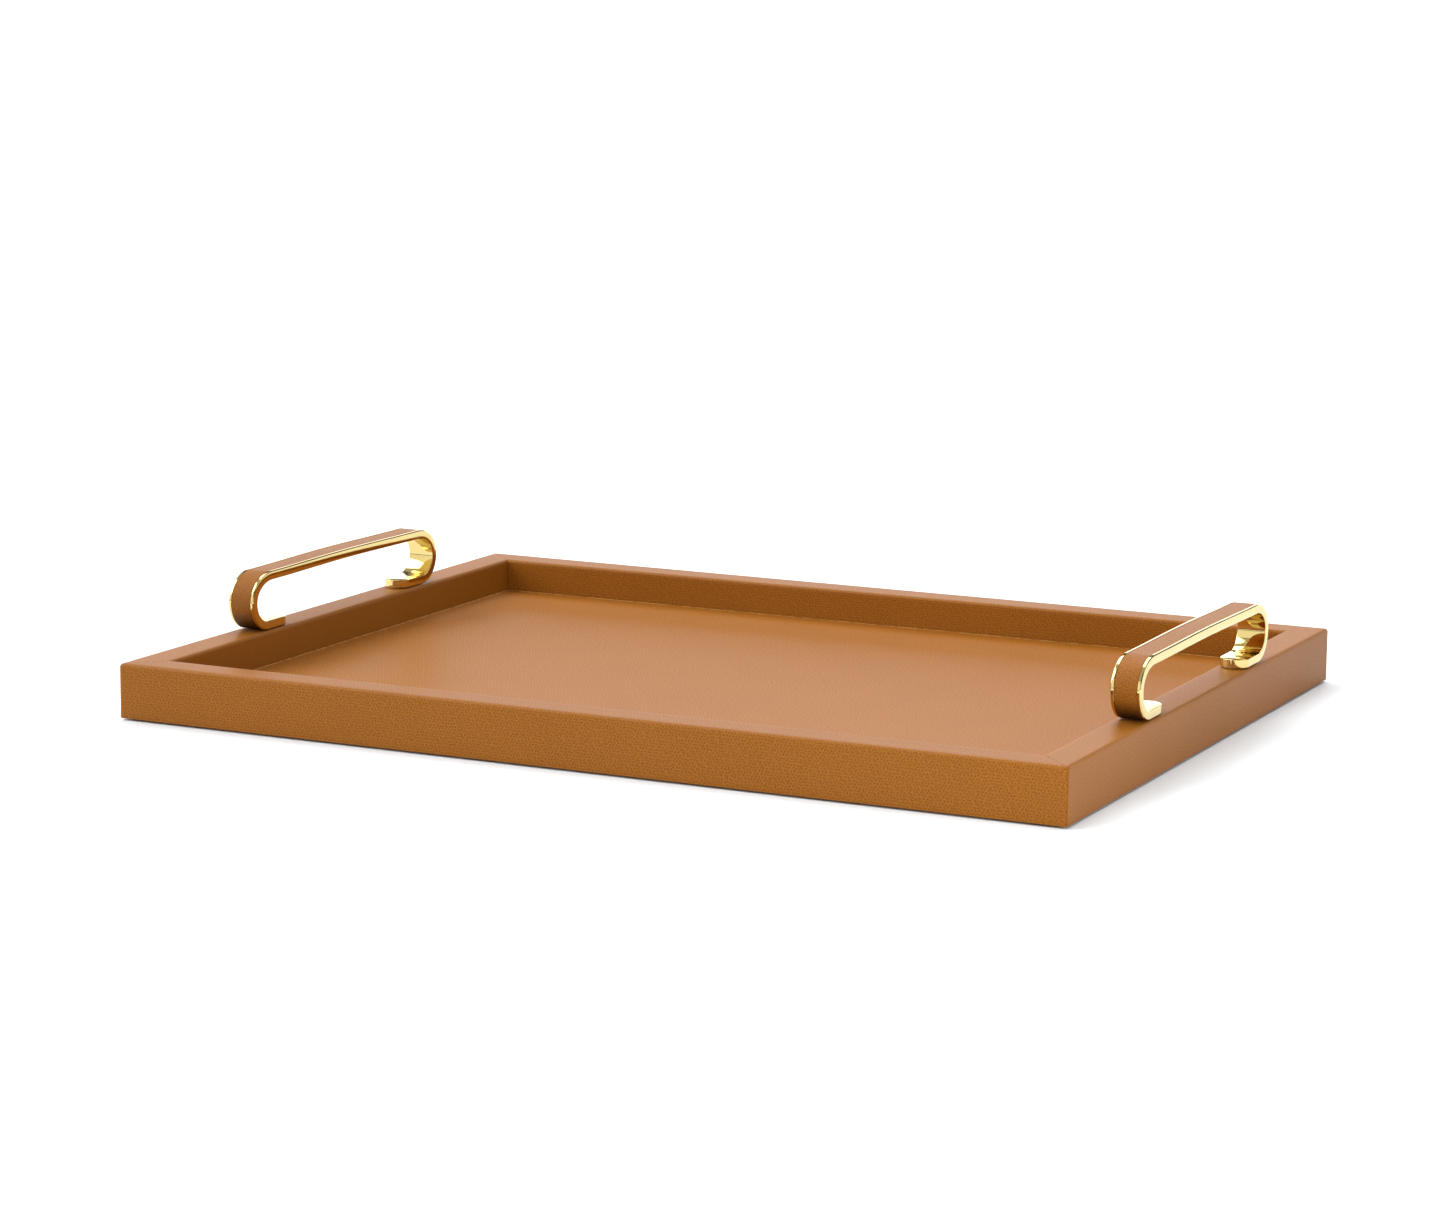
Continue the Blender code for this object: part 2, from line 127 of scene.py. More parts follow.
# The handles' bars. The upper bends are longer than the lower ones, and the top is arched.
BAR_THICKNESS = 5.0 * MM
FOOT_TIP = 64.0 * MM
LIP = 1.8 * MM
CHANNEL_DEPTH = 1.3 * MM
LIP_CHAMFER = 0.50 * MM
CHAMFER_ROUND = 0.06 * MM
INNER_ROUND = 0.30 * MM
LIP_EASE = 0.08 * MM
CHANNEL_START = math.radians(4)
TOP_ARCH = 0.7 * MM
LOWER_BEND = 16.6 * MM
UPPER_BEND = 21.0 * MM
UPPER_RISE = HANDLE_HEIGHT - TOP_ARCH - LOWER_BEND
TOP_END = HANDLE_LENGTH / 2 - UPPER_BEND
TIP_CENTRE = FOOT_TIP + BAR_WIDTH / 2
BEND_STEPS = 64
LEAST_TURN = 0.001
SOLID_STEPS = 5
TOP_STEPS = 24
TIP_STEPS = 20
ROUND_STEPS = 4

# The leather strips let into the bars
INLAY_CLEARANCE = 0.05 * MM
INLAY_CROWN = 0.10 * MM
INLAY_EDGE = 0.35 * MM
INLAY_DEPTH = 0.12 * MM
INLAY_STEPS = 5

# Screw passages
PASSAGE_RADIUS = 2.3 * MM
COUNTERBORE_RADIUS = 4.3 * MM
TAPPED_RADIUS = 2.15 * MM
HOLE_STEPS = 32

# Vertices closer than this become one
MERGE_DISTANCE = 1e-7

# The leather's colours and polish
TAN = (0.290, 0.103, 0.0100)
# Grain pits' dark brown: partly the leather's own colour, partly painted shade in the hollows
PIT_DYE_AND_SHADE = (0.105, 0.027, 0.001)
# Near-black painted shade for the inlay strips' lower ends
END_SHADE_DARK = (0.012, 0.004, 0.001)
# Painted highlight along the floor leather's rounded edge, and its band inside the panel's edge
EDGE_HIGHLIGHT_TAN = (0.62, 0.31, 0.11)
EDGE_HIGHLIGHT_BAND = (-2.9 * MM, -1.9 * MM)
LEATHER_IOR = 1.22
PIT_SCATTER = 0.38
PIT_SHARPNESS = -13.0
PIT_DEPTH = 0.80
WEAVE_DEPTH = 0.42
MEAN_DEPTH = 0.24
PORE_DEPTH = 0.12

# The other materials' colours
BRASS_TONES = ((0.69, 0.53, 0.215), (0.66, 0.50, 0.195))
SUEDE_TONES = ((0.028, 0.015, 0.009), (0.060, 0.034, 0.021))
SUEDE_BRUSHED = (0.075, 0.045, 0.028)
FIBRE_TONES = ((0.27, 0.17, 0.09), (0.44, 0.30, 0.17))
FIBRE_FLECK = (0.16, 0.09, 0.045)
BEECH_TONES = ((0.52, 0.32, 0.17), (0.66, 0.45, 0.26))
BEECH_RAY = (0.36, 0.20, 0.10)
ZINC_TONES = ((0.55, 0.55, 0.54), (0.66, 0.66, 0.64))
STUDIO_WHITES = ((0.785, 0.825, 0.85), (0.79, 0.83, 0.855))

# The studio round the tray, by direction: a ceiling that starts between two heights of the unit
# vector, and a dim glow all over.
CEILING_GLOW = 0.45
CEILING_HEIGHTS = (0.56, 0.64)
DIM_GLOW = 0.12
# Round softboxes: direction, radius in degrees, glow.
SOFTBOXES = [
    ((-0.76, -0.25, 0.60), 27, 5.0),
    ((-0.12, 0.53, 0.84), 24, 4.5),
]
SOFTBOX_BLUR = 2
# Bands: side, lowest and highest height, the two cosines to that side between which they fade
# in, glow.
BANDS = [
    ((-0.30, -0.95, 0.0), 0.04, 0.62, 0.55, 0.62, 1.18),
    ((-0.45, 0.89, 0.0), -1.0, 0.28, 0.45, 0.85, 1.8),
    ((-0.45, 0.89, 0.0), -1.0, 0.10, 0.55, 0.85, 1.0),
    ((1.00, 0.0, 0.0), -1.0, 0.26, 0.50, 0.75, 0.6),
]
BAND_FOOT_BLUR = 0.01
BAND_TOP_BLUR = 0.02

# A low lamp off the near right corner: place, aim, size and watts
FILL = ((0.95, -0.50, 0.20), (0.275, -0.17, 0.015), (0.4, 0.3), 4.2)
STAGE_SIZE = 40.0
STAGE_DROP = 0.05 * MM

# The camera: its angles, and where it stands, in tray lengths from the middle of the covers' underside
CAMERA_SPOT = Vector((1.71067, -3.62231, 0.81191))
CAMERA_YAW = math.radians(25.579)
CAMERA_PITCH = math.radians(10.217)
CAMERA_ROLL = math.radians(0.577)
CAMERA_LENS = 99.606

SIDES = {
    "front": Vector((0, -1, 0)),
    "back": Vector((0, 1, 0)),
    "left": Vector((-1, 0, 0)),
    "right": Vector((1, 0, 0)),
}
CORNERS = [Vector((1, 1)), Vector((-1, 1)), Vector((-1, -1)), Vector((1, -1))]


# ---------------------------------------------------------------- materials


class Nodes:
    """A short way to add and join the nodes of a material or of the world."""

    def __init__(self, owner):
        owner.use_nodes = True
        self.owner = owner
        self.tree = owner.node_tree

    def add(self, kind, inputs=None, **settings):
        """A new node with its settings and its inputs: values, or outputs to link."""
        node = self.tree.nodes.new(kind)
        for name, value in settings.items():
            setattr(node, name, value)
        for name, value in (inputs or {}).items():
            self.feed(node.inputs[name], value)
        return node

    def feed(self, socket, value):
        """Links an output to the socket, or sets a plain value on it."""
        if isinstance(value, bpy.types.NodeSocket):
            self.tree.links.new(value, socket)
        else:
            socket.default_value = value

    def math(self, operation, first, second=0.0, clamp=False):
        """One or two numbers or outputs, put through a Math node."""
        node = self.add("ShaderNodeMath", operation=operation, use_clamp=clamp)
        self.feed(node.inputs[0], first)
        self.feed(node.inputs[1], second)
        return node.outputs[0]

    def remap(self, value, low, high, to_low=0.0, to_high=1.0, smooth=True):
        """The value carried from one range to another, and held at its ends."""
        kind = "SMOOTHSTEP" if smooth else "LINEAR"
        node = self.add("ShaderNodeMapRange", interpolation_type=kind)
        self.feed(node.inputs["Value"], value)
        self.feed(node.inputs["From Min"], low)
        self.feed(node.inputs["From Max"], high)
        self.feed(node.inputs["To Min"], to_low)
        self.feed(node.inputs["To Max"], to_high)
        return node.outputs["Result"]

    def mix(self, factor, first, second):
        """Two colours mixed: outputs, or (red, green, blue)."""
        node = self.add("ShaderNodeMix", data_type="RGBA")
        self.feed(node.inputs[0], factor)
        for index, tone in ((6, first), (7, second)):
            linked = isinstance(tone, bpy.types.NodeSocket)
            self.feed(node.inputs[index], tone if linked else (*tone, 1.0))
        return node.outputs[2]

    def noise(self, vector, scale, detail=2.0, roughness=0.5, output="Fac"):
        """Soft noise, as a number or as a colour."""
        inputs = {"Vector": vector, "Scale": scale, "Detail": detail, "Roughness": roughness}
        return self.add("ShaderNodeTexNoise", inputs).outputs[output]

    def stretch(self, vector, scales):
        """The vector scaled along X, Y and Z."""
        return self.add("ShaderNodeMapping", {"Vector": vector, "Scale": scales}).outputs[0]

    def vector(self, operation, first, second):
        """Two vectors added or subtracted."""
        node = self.add("ShaderNodeVectorMath", {0: first, 1: second}, operation=operation)
        return node.outputs[0]

    def split(self, vector):
        """The X, Y and Z outputs of a vector."""
        return self.add("ShaderNodeSeparateXYZ", {"Vector": vector}).outputs

    def bump(self, height, strength, distance):
        """The normal of a surface raised by the height."""
        node = self.add("ShaderNodeBump", {"Height": height, "Strength": strength, "Distance": distance})
        return node.outputs["Normal"]

    def object_coordinates(self):
        return self.add("ShaderNodeTexCoord").outputs["Object"]

    def set(self, **values):
        """The shader's inputs by name, with _ for a space."""
        shader = self.tree.nodes["Principled BSDF"]
        for name, value in values.items():
            self.feed(shader.inputs[name.replace("_", " ")], value)


def material_nodes(name):
    """A new material with the means to fill it."""
    return Nodes(bpy.data.materials.new(name))


def grain_level(n, calm):
    """How deep the grain is: full where the leather faces front or back, less by calm elsewhere."""
    lie = n.split(n.add("ShaderNodeNewGeometry").outputs["Normal"])
    flat = n.math("MAXIMUM", n.math("ABSOLUTE", lie["X"]), n.math("ABSOLUTE", lie["Z"]))
    return n.remap(flat, 0.55, 0.95, 1.0, 1.0 - calm)


def grain_pits(n, place, pitch):
    """Round pits in slightly scattered rows, a pitch apart: 1 in the middle of a pit, 0 between."""
    shift = n.vector("SUBTRACT", n.noise(place, 300.0, 1.0, output="Color"), (0.5, 0.5, 0.5))
    warp = n.add("ShaderNodeVectorMath", {0: shift, "Scale": pitch * 0.7}, operation="SCALE")
    moved = n.split(n.vector("ADD", place, warp.outputs[0]))
    row = n.math("MULTIPLY", moved["Y"], 2 / math.sqrt(3) / pitch)
    column = n.math("MULTIPLY", moved["X"], 1 / pitch)
    column = n.math("SUBTRACT", column, n.math("MULTIPLY", row, 0.5))
    slanted = n.add("ShaderNodeCombineXYZ", {"X": column, "Y": row}).outputs[0]
    cells = n.add(
        "ShaderNodeTexVoronoi",
        {"Vector": slanted, "Scale": 1.0, "Randomness": PIT_SCATTER},
        voronoi_dimensions="2D",
        feature="F1",
    )
    offset = n.split(n.vector("SUBTRACT", slanted, cells.outputs["Position"]))
    across = n.math("ADD", offset["X"], n.math("MULTIPLY", offset["Y"], 0.5))
    upward = n.math("MULTIPLY", offset["Y"], math.sqrt(3) / 2)
    square = n.math("ADD", n.math("MULTIPLY", across, across), n.math("MULTIPLY", upward, upward))
    return n.math("EXPONENT", n.math("MULTIPLY", square, PIT_SHARPNESS))


def paint_end_shade(n, tone, heights):
    """The colour with painted shade below the first height, fading out up to the second."""
    height = n.split(n.object_coordinates())["Z"]
    return n.mix(n.remap(height, *heights, 0.92, 0.0), tone, END_SHADE_DARK)


def painted_edge_highlight(n, tone, place, panel):
    """The colour with a painted highlight: a lighter, dashed line just inside a panel's half length and
    half width.
    """
    spot = n.split(n.object_coordinates())
    beyond_x = n.math("SUBTRACT", n.math("ABSOLUTE", spot["X"]), panel[0])
    beyond_y = n.math("SUBTRACT", n.math("ABSOLUTE", spot["Y"]), panel[1])
    highlight_share = n.remap(n.math("MAXIMUM", beyond_x, beyond_y), *EDGE_HIGHLIGHT_BAND, 0.0, 0.85)
    dashes = n.remap(n.noise(place, 210.0, 1.0), 0.40, 0.54, 0.25, 1.0)
    return n.mix(n.math("MULTIPLY", highlight_share, dashes), tone, EDGE_HIGHLIGHT_TAN)


def leather(
    name,
    pitch,
    contrast,
    roughness=0.38,
    relief=0.14 * MM,
    calm=0.0,
    end_shade=None,
    edge=None,
):
    """Printed calf: a fine net of ridges round soft dark pits, without any larger blotches. The
    pits and furrows are darkened partly by the leather's own colour and partly by painted shade.

    calm is how much flatter the grain is where the leather lies level or faces left or right,
    end_shade the two heights between which the painted shade on the strips' lower ends fades
    out, and edge the half length and half width of the panel whose edge gets a painted
    highlight in short dashes.
    """
    n = material_nodes(name)
    level = grain_level(n, calm)
    place = n.add("ShaderNodeUVMap", uv_map="grain").outputs["UV"]
    pit = grain_pits(n, place, pitch)
    weave = n.add(
        "ShaderNodeTexGabor",
        {"Vector": place, "Scale": 0.58 / pitch, "Frequency": 2.0, "Anisotropy": 0.0},
        gabor_type="2D",
    ).outputs["Value"]
    pores = n.noise(place, 2600.0, 3.0, 0.6)
    furrow = n.math("MULTIPLY", pit, PIT_DEPTH)
    furrow = n.math("ADD", furrow, n.remap(weave, 0.75, 0.25, 0.0, WEAVE_DEPTH))
    # Where the grain is flatter, its average darkness is added back evenly.
    even = n.remap(level, 0.0, 1.0, MEAN_DEPTH, 0.0, smooth=False)
    furrow = n.math("ADD", n.math("MULTIPLY", furrow, level), even)
    depth = n.math("MULTIPLY", furrow, -1.0)
    depth = n.math("ADD", depth, n.math("MULTIPLY", pores, PORE_DEPTH))
    cloud = n.noise(place, 22.0, 4.0, 0.55)
    tone = n.mix(n.remap(cloud, 0.32, 0.68), [c * 0.96 for c in TAN], TAN)
    # The pits and furrows are darkened: partly the leather's own colour, partly painted shade in their
    # hollows.
    tone = n.mix(n.math("MULTIPLY", furrow, contrast, clamp=True), tone, PIT_DYE_AND_SHADE)
    # Painted shade darkens the strips' lower ends, where the bends curl down to the rim.
    if end_shade:
        tone = paint_end_shade(n, tone, end_shade)
    # A painted highlight lightens a dashed line along the floor panel's edge.
    if edge:
        tone = painted_edge_highlight(n, tone, place, edge)
    gloss = n.remap(pores, 0.3, 0.7, roughness - 0.03, roughness + 0.05)
    n.set(
        Base_Color=tone,
        Roughness=n.math("ADD", gloss, n.math("MULTIPLY", pit, 0.12)),
        IOR=LEATHER_IOR,
        Normal=n.bump(depth, 0.5, relief),
    )
    return n.owner


def brass():
    """Polished brass: nearly a mirror, with fine rubbing marks and a faint warm bloom."""
    n = material_nodes("polished_brass")
    place = n.object_coordinates()
    rubs = n.noise(n.stretch(place, (900.0, 60.0, 900.0)), 1.0, 4.0, 0.65)
    bloom = n.noise(place, 55.0, 3.0)
    swell = n.noise(place, 120.0, 1.0)
    tone = n.mix(n.remap(bloom, 0.35, 0.7), *BRASS_TONES)
    height = n.math("ADD", n.math("MULTIPLY", rubs, 0.02), swell)
    n.set(
        Base_Color=tone,
        Metallic=1.0,
        Roughness=n.remap(rubs, 0.3, 0.75, 0.045, 0.11),
        Normal=n.bump(height, 0.10, 0.10 * MM),
    )
    return n.owner


def suede():
    """Dark brown suede with a soft nap, brushed lighter in places."""
    n = material_nodes("brown_suede")
    place = n.object_coordinates()
    nap = n.noise(place, 900.0, 4.0, 0.7)
    brushed = n.noise(place, 30.0, 3.0)
    tone = n.mix(n.remap(nap, 0.3, 0.7), *SUEDE_TONES)
    tone = n.mix(n.remap(brushed, 0.4, 0.62, 0.0, 0.5), tone, SUEDE_BRUSHED)
    n.set(
        Base_Color=tone,
        Roughness=0.95,
        Normal=n.bump(nap, 0.6, 0.15 * MM),
        Sheen_Weight=0.35,
        Sheen_Roughness=0.5,
    )
    return n.owner


def fibreboard():
    """Pressed wood fibres with a few darker flecks."""
    n = material_nodes("fibreboard")
    place = n.object_coordinates()
    fibres = n.noise(place, 700.0, 5.0, 0.7)
    flecks = n.noise(place, 160.0, 2.0)
    tone = n.mix(n.remap(fibres, 0.3, 0.7), *FIBRE_TONES)
    tone = n.mix(n.remap(flecks, 0.62, 0.75, 0.0, 0.5), tone, FIBRE_FLECK)
    n.set(Base_Color=tone, Roughness=0.85, Normal=n.bump(fibres, 0.3, 0.1 * MM))
    return n.owner


def beech():
    """Beech with close growth lines and short dark rays."""
    n = material_nodes("beech")
    place = n.object_coordinates()
    growth = n.noise(n.stretch(place, (1.0, 1.0, 9.0)), 240.0, 3.0, 0.6)
    rays = n.noise(place, 1400.0, 2.0)
    tone = n.mix(n.remap(growth, 0.35, 0.65), *BEECH_TONES)
    tone = n.mix(n.remap(rays, 0.6, 0.72, 0.0, 0.6), tone, BEECH_RAY)
    n.set(Base_Color=tone, Roughness=0.6, Normal=n.bump(growth, 0.2, 0.1 * MM))
    return n.owner


def zinc_steel():
    """Zinc-plated steel, with faint spangles and turning marks."""
    n = material_nodes("zinc_plated_steel")
    place = n.object_coordinates()
    spangle = n.noise(place, 500.0, 2.0)
    marks = n.noise(n.stretch(place, (400.0, 400.0, 6000.0)), 1.0, 2.0)
    tone = n.mix(n.remap(spangle, 0.3, 0.7), *ZINC_TONES)
    n.set(
        Base_Color=tone,
        Metallic=1.0,
        Roughness=n.remap(marks, 0.3, 0.7, 0.24, 0.38),
        Normal=n.bump(marks, 0.15, 0.03 * MM),
    )
    return n.owner


# ---------------------------------------------------------------- mesh helpers


def straight(start, end, step):
    """Points from start towards end, at most a step apart, without the end."""
    count = max(1, math.ceil((end - start).length / step))
    return [start.lerp(end, i / count) for i in range(count)]


def outline(corners, step, arc_steps=ARC_STEPS):
    """An open 2-D path through (x, y, radius) corners: a list of (point, outward normal).

    The outward normal is the path's direction turned a quarter turn anticlockwise.
    """
    path = []
    start = Vector(corners[0][:2])
    for i in range(1, len(corners)):
        corner = Vector(corners[i][:2])
        radius = corners[i][2]
        way = (corner - Vector(corners[i - 1][:2])).normalized()
        normal = Vector((-way.y, way.x))
        stop = corner - way * radius
        path += [(point, normal) for point in straight(start, stop, step)]
        if i == len(corners) - 1:
            path.append((stop, normal))
            break
        onward = (Vector(corners[i + 1][:2]) - corner).normalized()
        centre = stop + onward * radius
        for k in range(arc_steps):
            angle = math.pi / 2 * k / arc_steps
            lean = way * math.sin(angle) - onward * math.cos(angle)
            path.append((centre + lean * radius, lean))
        start = corner + onward * radius
    return path


def skin(rings, uv_rings):
    """Faces between rings of points and over both ends, with the grain's coordinates on them.

    Each ring of coordinates has one more entry than its ring of points, for the last face.
    """
    bm = bmesh.new()
    layer = bm.loops.layers.uv.verify()

    def face(corners, spots):
        """One face with its grain coordinates."""
        for loop, spot in zip(bm.faces.new(corners).loops, spots):
            loop[layer].uv = spot

    loops = [[bm.verts.new(point) for point in ring] for ring in rings]
    for near, far, near_uv, far_uv in zip(loops, loops[1:], uv_rings, uv_rings[1:]):
        for i in range(len(near)):
            j = (i + 1) % len(near)
            corners = (near[i], near[j], far[j], far[i])
            face(corners, (near_uv[i], near_uv[i + 1], far_uv[i + 1], far_uv[i]))
    for k in (0, -1):
        face(loops[k], uv_rings[k])
    return bm


def make_piece(name, bm, material, sharp=40):
    """An object from the faces, smooth but for edges sharper than so many degrees."""
    bmesh.ops.remove_doubles(bm, verts=bm.verts, dist=MERGE_DISTANCE)
    bmesh.ops.recalc_face_normals(bm, faces=bm.faces)
    mesh = bpy.data.meshes.new(name)
    bm.to_mesh(mesh)
    bm.free()
    mesh.uv_layers[0].name = "grain"
    mesh.shade_smooth()
    mesh.set_sharp_from_angle(angle=math.radians(sharp))
    mesh.materials.append(material)
    piece = bpy.data.objects.new(name, mesh)
    bpy.context.scene.collection.objects.link(piece)
    return piece


def turned_cutter(rings):
    """A closed turned solid from (radius, z) pairs, at the origin, to cut with."""
    bm = bmesh.new()
    loops = []
    turn = 2 * math.pi / HOLE_STEPS
    for radius, z in rings:
        loops.append([
            bm.verts.new((radius * math.cos(turn * i), radius * math.sin(turn * i), z))
            for i in range(HOLE_STEPS)
        ])
    bm.faces.new(loops[0])
    bm.faces.new(loops[-1])
    for first, second in zip(loops, loops[1:]):
        for i in range(HOLE_STEPS):
            j = (i + 1) % HOLE_STEPS
            bm.faces.new((first[i], first[j], second[j], second[i]))
    bmesh.ops.recalc_face_normals(bm, faces=bm.faces)
    mesh = bpy.data.meshes.new("cutter")
    bm.to_mesh(mesh)
    bm.free()
    return mesh


def drill(piece, cutter_mesh, spots):
    """Cuts the cutter out of the piece at each spot, and leaves a plain mesh behind."""
    cutters = []
    for spot in spots:
        cutter = bpy.data.objects.new("cutter", cutter_mesh)
        bpy.context.scene.collection.objects.link(cutter)
        cutter.location = spot
        boolean = piece.modifiers.new("drill", "BOOLEAN")
        boolean.operation = "DIFFERENCE"
        boolean.solver = "EXACT"
        boolean.object = cutter
        cutters.append(cutter)
    bpy.context.view_layer.update()
    graph = bpy.context.evaluated_depsgraph_get()
    drilled = bpy.data.meshes.new_from_object(piece.evaluated_get(graph))
    piece.modifiers.clear()
    piece.data = drilled
    for cutter in cutters:
        bpy.data.objects.remove(cutter)


def stand_in(piece, node):
    """The piece shows instead of its CAD node, and is hung from the root body."""
    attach(piece, "root")
    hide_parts(node)


# ---------------------------------------------------------------- leather


def ripple(u, v, seed, amount, scale):
    """A slow unevenness of the leather's surface, the same on every run."""
    broad = noise.noise(Vector((u * scale, v * scale, seed)))
    fine = noise.noise(Vector((u * scale * 3.1, v * scale * 3.1, seed + 9.0)))
    return amount * max(0.0, 0.9 + 0.6 * broad + 0.25 * fine)


def seam_drop(distance, radius):
    """How far a rounded edge has fallen away, that far from the edge itself."""
    if distance >= radius:
        return 0.0
    return radius - math.sqrt(radius**2 - (radius - distance) ** 2)


def corner_drop(distance):
    """The same for half of the rounded upright corner, measured from the mitre."""
    if distance >= CORNER_RADIUS:
        return 0.0
    angle = math.acos(distance / (CORNER_RADIUS * math.sqrt(2))) - math.pi / 4
    return CORNER_RADIUS * (1 - math.cos(angle))


def cover_profile():
    """The outer face of the leather in section, and the plain line of its inner face."""
    face = outline(
        [
            (TURN_IN, COVER_BOTTOM, 0),
            (0, COVER_BOTTOM, BOTTOM_EDGE_RADIUS),
            (0, RIM_TOP, OUTER_EDGE_RADIUS),
            (RIM_WIDTH, RIM_TOP, INNER_EDGE_RADIUS),
            (RIM_WIDTH, FLOOR_BASE, 0),
        ],
        SECTION_STEP,
    )
    behind = outline(
        [
            (RIM_WIDTH - LEATHER, FLOOR_BASE, 0),
            (RIM_WIDTH - LEATHER, RIM_TOP - LEATHER, INNER_EDGE_RADIUS - LEATHER),
            (LEATHER, RIM_TOP - LEATHER, OUTER_EDGE_RADIUS - LEATHER),
            (LEATHER, COVER_BOTTOM + LEATHER, 0),
            (TURN_IN, COVER_BOTTOM + LEATHER, 0),
        ],
        step=1.0,
        arc_steps=3,
    )
    return face, [point for point, _ in behind]


def cover_stations(half):
    """Pairs (seam distance or None, share of the straight run) from one mitre to the other."""
    distances = [d * MM for d in SEAM_STATIONS]
    count = round(2 * half / STATION_STEP)
    shares = [-1 + 2 * i / count for i in range(1, count)]
    return (
        [(d, -1) for d in distances]
        + [(None, share) for share in shares]
        + [(d, 1) for d in reversed(distances)]
    )


def cover_ring(seam, share, half, seed, face, behind, lengths):
    """One slice of the cover: (u along the rail, inset, z) points, and grain coordinates."""
    run_out = SEAM_STATIONS[-1] * MM
    back_off = run_out if seam is None else seam
    points = []
    spots = []
    for (point, normal), length in zip(face, lengths):
        outer = max(0.0, -normal.x)
        sink = 0.0
        if seam is not None:
            sink = seam_drop(seam, SEAM_RADIUS) * (1 - 0.5 * outer) + outer * corner_drop(seam)
        along = share * (half - point.x - back_off)
        sink += back_off / run_out * ripple(along, length, seed, WAVE, WAVE_SCALE)
        inset = point.x - normal.x * sink
        u = share * (half - inset - SEAM_GAP / 2 - back_off)
        points.append((u, inset, point.y - normal.y * sink))
        spots.append((u + seed, length))
    for point in behind:
        u = share * (half - point.x - SEAM_GAP / 2 - back_off)
        points.append((u, point.x, point.y))
        spots.append((u + seed, lengths[-1] + point.x))
    spots.append(spots[-1])
    return points, spots


def make_cover(side, seed, material):
    """The leather round one rail, from its turned-in edge below to the floor inside."""
    outward = SIDES[side]
    across = Vector((-outward.y, outward.x, 0))
    along_x = side in ("front", "back")
    half = HALF_LENGTH if along_x else HALF_WIDTH
    out = HALF_WIDTH if along_x else HALF_LENGTH
    face, behind = cover_profile()
    lengths = [0.0]
    for (before, _), (after, _) in zip(face, face[1:]):
        lengths.append(lengths[-1] + (after - before).length)
    rings = []
    spots = []
    for seam, share in cover_stations(half):
        points, ring_spots = cover_ring(seam, share, half, seed, face, behind, lengths)
        rings.append([
            outward * (out - inset) + across * u + Vector((0, 0, z)) for u, inset, z in points
        ])
        spots.append(ring_spots)
    piece = make_piece(side + "_leather_cover", skin(rings, spots), material)
    stand_in(piece, side + "_leather")
    return piece


def floor_ring(inset, z, spread):
    """A rounded rectangle with evenly divided sides, and its grain coordinates.

    The coordinates lie as far in from the edge as spread says, or out where it is negative, so
    that the grain isn't squeezed where the leather turns down.
    """
    half = Vector((HALF_LENGTH - FLOOR_INSET - inset, HALF_WIDTH - FLOOR_INSET - inset))
    radius = max(FLOOR_CORNER - inset, FLOOR_CORNER_LEAST)
    centres = [corner * (half - Vector((radius, radius))) for corner in CORNERS]
    ring = []
    for quarter, centre in enumerate(centres):
        start = math.pi / 2 * quarter
        for step in range(FLOOR_CORNER_STEPS + 1):
            angle = start + math.pi / 2 * step / FLOOR_CORNER_STEPS
            lean = Vector((math.cos(angle), math.sin(angle)))
            ring.append((centre + lean * radius, lean))
        lean = Vector((math.cos(start + math.pi / 2), math.sin(start + math.pi / 2)))
        begin = centre + lean * radius
        finish = centres[(quarter + 1) % 4] + lean * radius
        steps = FLOOR_SIDE_STEPS[quarter % 2]
        for step in range(1, steps):
            ring.append((begin.lerp(finish, step / steps), lean))
    spots = [tuple(point + lean * (inset - spread)) for point, lean in ring]
    spots.append(spots[0])
    return [Vector((point.x, point.y, z)) for point, _ in ring], spots


def make_floor(material):
    """The floor's leather, laid over its board with the edges turned down all round."""
    drop = FLOOR_TOP - FLOOR_BASE
    hem = [
        (LEATHER, FLOOR_TOP - LEATHER, LEATHER),
        (LEATHER, FLOOR_BASE, LEATHER),
        (0.0, FLOOR_BASE, -drop),
        (0.0, (FLOOR_BASE + FLOOR_TOP) / 2, -drop / 2),
    ]
    top = []
    for k in range(ARC_STEPS):
        angle = math.pi / 2 * k / ARC_STEPS
        inset = FLOOR_EDGE_RADIUS * (1 - math.cos(angle))
        z = FLOOR_TOP - FLOOR_EDGE_RADIUS * (1 - math.sin(angle))
        top.append((inset, z, inset - FLOOR_EDGE_RADIUS * 0.5 * math.cos(angle)))
    top += [(inset * MM, FLOOR_TOP, inset * MM) for inset in FLOOR_RINGS]
    slices = [floor_ring(*ring) for ring in hem]
    for inset, z, spread in top:
        ring, spots = floor_ring(inset, z, spread)
        bump = math.exp(-((inset - FLOOR_BEAD_PLACE) / FLOOR_BEAD_SPREAD) ** 2)
        bead = FLOOR_BEAD * bump - FLOOR_BEAD
        share = min(1.0, inset / FLOOR_WAVE_START)
        for point in ring:
            wave = ripple(point.x, point.y, FLOOR_SEED, FLOOR_WAVE, FLOOR_WAVE_SCALE)
            point.z += bead - share * wave
        slices.append((ring, spots))
    rings, spots = zip(*slices)
    piece = make_piece("floor_leather_panel", skin(rings, spots), material)
    stand_in(piece, "floor_leather")


# ---------------------------------------------------------------- handles


def bend_points(end, angles):
    """Places round the bend at one end: (y and z of the outer face, outward direction).

    The lower quarter is round and the upper one is drawn out towards the middle.
    """
    stations = []
    for angle in angles:
        reach, rise = (UPPER_BEND, UPPER_RISE) if angle > 0 else (LOWER_BEND, LOWER_BEND)
        y = HANDLE_LENGTH / 2 - reach + reach * math.cos(angle)
        spot = Vector((end * y, LOWER_BEND + rise * math.sin(angle)))
        outward = Vector((end * math.cos(angle) / reach, math.sin(angle) / rise)).normalized()
        stations.append((spot, outward))
    return stations


